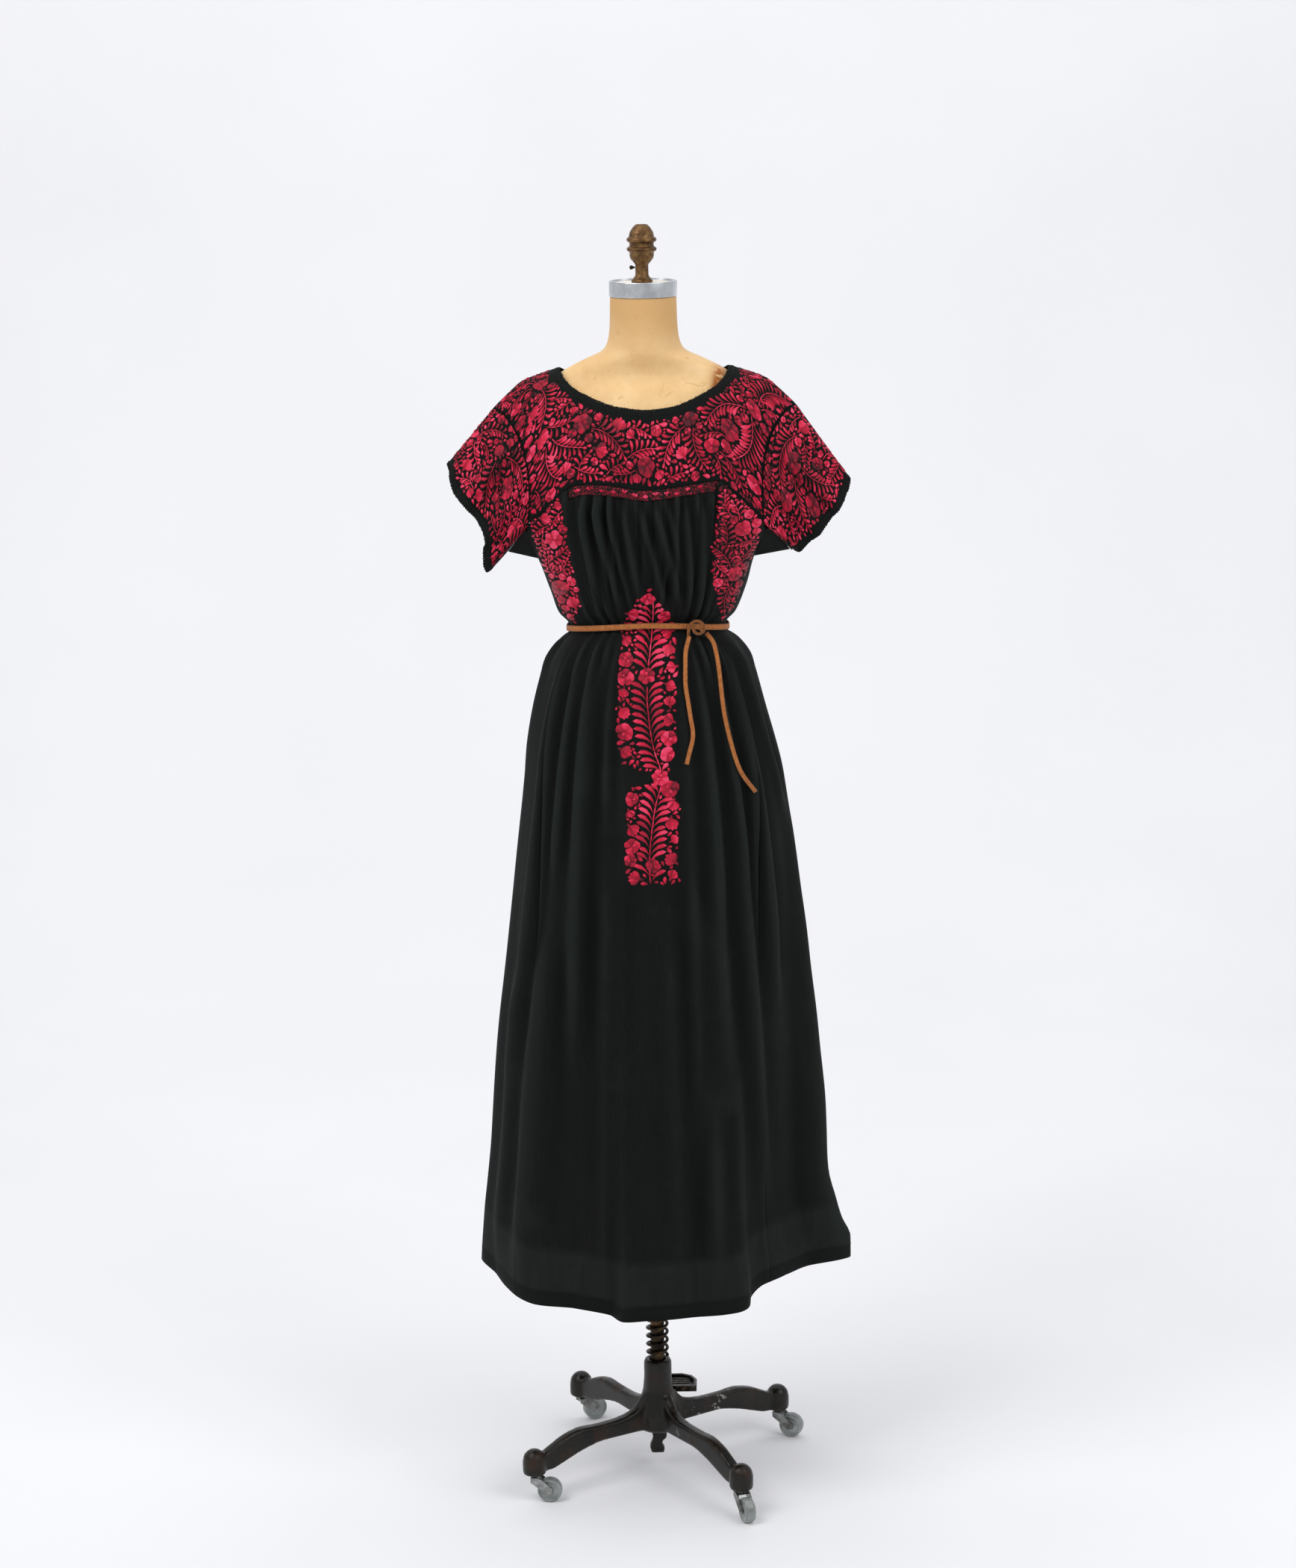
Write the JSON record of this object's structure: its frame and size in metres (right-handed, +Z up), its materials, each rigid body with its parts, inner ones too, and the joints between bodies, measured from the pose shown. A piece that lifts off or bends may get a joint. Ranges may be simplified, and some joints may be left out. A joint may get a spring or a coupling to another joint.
{
  "type": "mexican dress on a dress form",
  "caption": "Long gathered cotton dress with an embroidered yoke, short sleeves and a tie belt, on a limbless form with a wheeled column stand.",
  "frame": {"origin": "on the floor under the column of the stand", "axes": "+Z up, -Y the way the dress faces, +X to the right of someone who looks at its front"},
  "size_m": [0.552, 0.4151, 1.7848],
  "materials": {
    "cotton": "thin black cotton",
    "embroidered_cotton": "black cotton covered in crimson and rose silk-like embroidery",
    "crochet_thread": "black crocheted thread",
    "suede_lace": "brown suede lace",
    "linen_form": "aged tan covering of a hollow moulded form",
    "bright_metal": "polished metal ring",
    "cream_card": "cream neck plate",
    "antique_bronze": "worn bronze finish",
    "dark_steel": "oiled dark steel",
    "cast_iron": "black painted cast iron, worn and rusted",
    "caster_metal": "dull plated steel",
    "wheel_plastic": "grey translucent wheel"
  },
  "bodies": {
    "stand": {"base": "cast_iron"},
    "carried": {"front_panel": "cotton", "side_panel_left": "cotton", "side_panel_right": "cotton", "back_panel": "cotton", "yoke_front": "embroidered_cotton", "yoke_back": "embroidered_cotton", "smocked_band": "embroidered_cotton", "neck_edging": "crochet_thread", "cuff_edging_left": "crochet_thread", "cuff_edging_right": "crochet_thread", "sleeve_left": "embroidered_cotton", "sleeve_right": "embroidered_cotton", "gusset_left": "cotton", "gusset_right": "cotton", "belt": "suede_lace", "belt_knot": "suede_lace", "belt_end_short": "suede_lace", "belt_end_long": "suede_lace", "form_torso": "linen_form", "neck_ring": "bright_metal", "neck_plate": "cream_card", "finial": "antique_bronze", "finial_screw": "dark_steel", "pole": "dark_steel", "column_spring": "dark_steel"},
    "pedal": {"foot_pedal": "cast_iron"},
    "caster_front_right": {"caster_fork_front_right": "caster_metal"},
    "wheel_front_right": {"caster_wheel_front_right": "wheel_plastic"},
    "caster_back_right": {"caster_fork_back_right": "caster_metal"},
    "wheel_back_right": {"caster_wheel_back_right": "wheel_plastic"},
    "caster_back_left": {"caster_fork_back_left": "caster_metal"},
    "wheel_back_left": {"caster_wheel_back_left": "wheel_plastic"},
    "caster_front_left": {"caster_fork_front_left": "caster_metal"},
    "wheel_front_left": {"caster_wheel_front_left": "wheel_plastic"}
  },
  "joints": [
    {"name": "height_slide", "type": "slide", "parent": "stand", "child": "carried", "axis": [0, 0, 1], "range_m": [-0.04, 0.04], "deforming": ["column_spring"]},
    {"name": "pedal_hinge", "type": "hinge", "parent": "stand", "child": "pedal", "pos_m": [0.01, 0.035, 0.082], "axis": [1, 0, 0], "range_deg": [-12, 0], "stiffness_Nm_per_rad": 6, "springref_deg": 3.44},
    {"name": "swivel_front_right", "type": "hinge", "parent": "stand", "child": "caster_front_right", "pos_m": [0.1147, -0.17662, 0.04], "axis": [0, 0, 1], "continuous": true},
    {"name": "wheel_spin_front_right", "type": "hinge", "parent": "caster_front_right", "child": "wheel_front_right", "pos_m": [0.12205, -0.19683, 0.0175], "axis": [0.9397, 0.342, 0], "continuous": true},
    {"name": "swivel_back_right", "type": "hinge", "parent": "stand", "child": "caster_back_right", "pos_m": [0.17662, 0.1147, 0.04], "axis": [0, 0, 1], "continuous": true},
    {"name": "wheel_spin_back_right", "type": "hinge", "parent": "caster_back_right", "child": "wheel_back_right", "pos_m": [0.19683, 0.10735, 0.0175], "axis": [0.342, 0.9397, 0], "continuous": true},
    {"name": "swivel_back_left", "type": "hinge", "parent": "stand", "child": "caster_back_left", "pos_m": [-0.1147, 0.17662, 0.04], "axis": [0, 0, 1], "continuous": true},
    {"name": "wheel_spin_back_left", "type": "hinge", "parent": "caster_back_left", "child": "wheel_back_left", "pos_m": [-0.09506, 0.18537, 0.0175], "axis": [-0.4067, 0.9135, 0], "continuous": true},
    {"name": "swivel_front_left", "type": "hinge", "parent": "stand", "child": "caster_front_left", "pos_m": [-0.17662, -0.1147, 0.04], "axis": [0, 0, 1], "continuous": true},
    {"name": "wheel_spin_front_left", "type": "hinge", "parent": "caster_front_left", "child": "wheel_front_left", "pos_m": [-0.15521, -0.11657, 0.0175], "axis": [0.0872, 0.9962, 0], "continuous": true}
  ]
}
